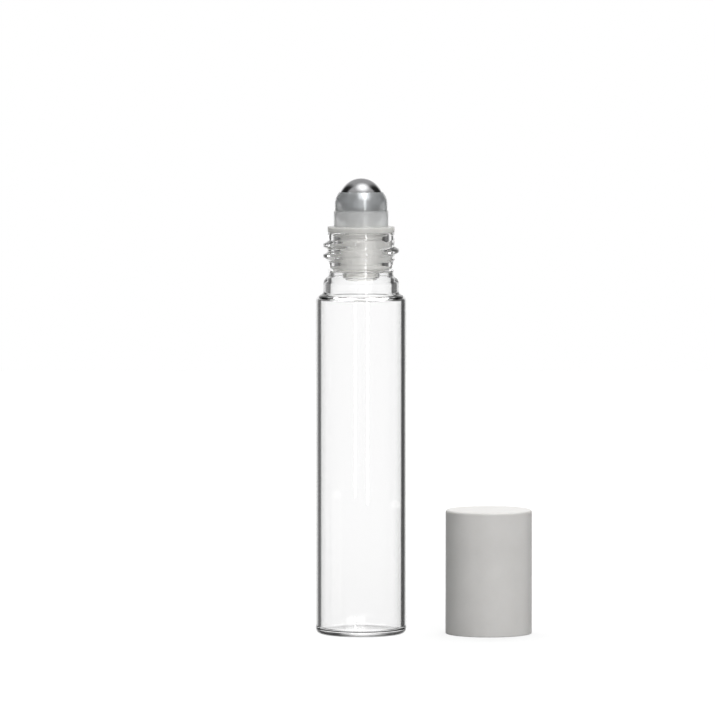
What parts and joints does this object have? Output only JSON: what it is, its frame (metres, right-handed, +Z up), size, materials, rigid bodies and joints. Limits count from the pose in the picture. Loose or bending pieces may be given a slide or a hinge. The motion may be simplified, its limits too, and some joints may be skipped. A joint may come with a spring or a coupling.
{
  "type": "roll-on bottle",
  "caption": "Clear glass roll-on bottle with a steel ball in a milky housing pressed into its neck, and a satin screw cap standing beside it.",
  "frame": {"origin": "centre of the bottle's foot, on the surface that it stands on", "axes": "+Z up along the bottle's axis, +X towards the cap standing beside it, -Y towards the viewer of the picture"},
  "size_m": [0.043, 0.018, 0.0907],
  "materials": {
    "clear_glass": "clear soda-lime glass, fire polished",
    "natural_plastic": "milky natural polyethylene, satin",
    "polished_steel": "polished stainless steel",
    "cap_plastic": "satin pale grey-white polypropylene"
  },
  "bodies": {
    "bottle": {"glass_bottle": "clear_glass"},
    "housing": {"roller_housing": "natural_plastic"},
    "ball": {"roller_ball": "polished_steel"},
    "cap": {"screw_cap": "cap_plastic"}
  },
  "joints": [
    {"name": "housing_pull", "type": "slide", "parent": "bottle", "child": "housing", "axis": [0, 0, 1], "range_m": [0, 0.025]},
    {"name": "ball_roll", "type": "hinge", "parent": "housing", "child": "ball", "pos_m": [0, 0, 0.08619], "axis": [1, 0, 0], "continuous": true},
    {"name": "cap_lift", "type": "slide", "parent": "bottle", "child": "cap", "axis": [0, 0, 1], "range_m": [0, 0.1]}
  ]
}
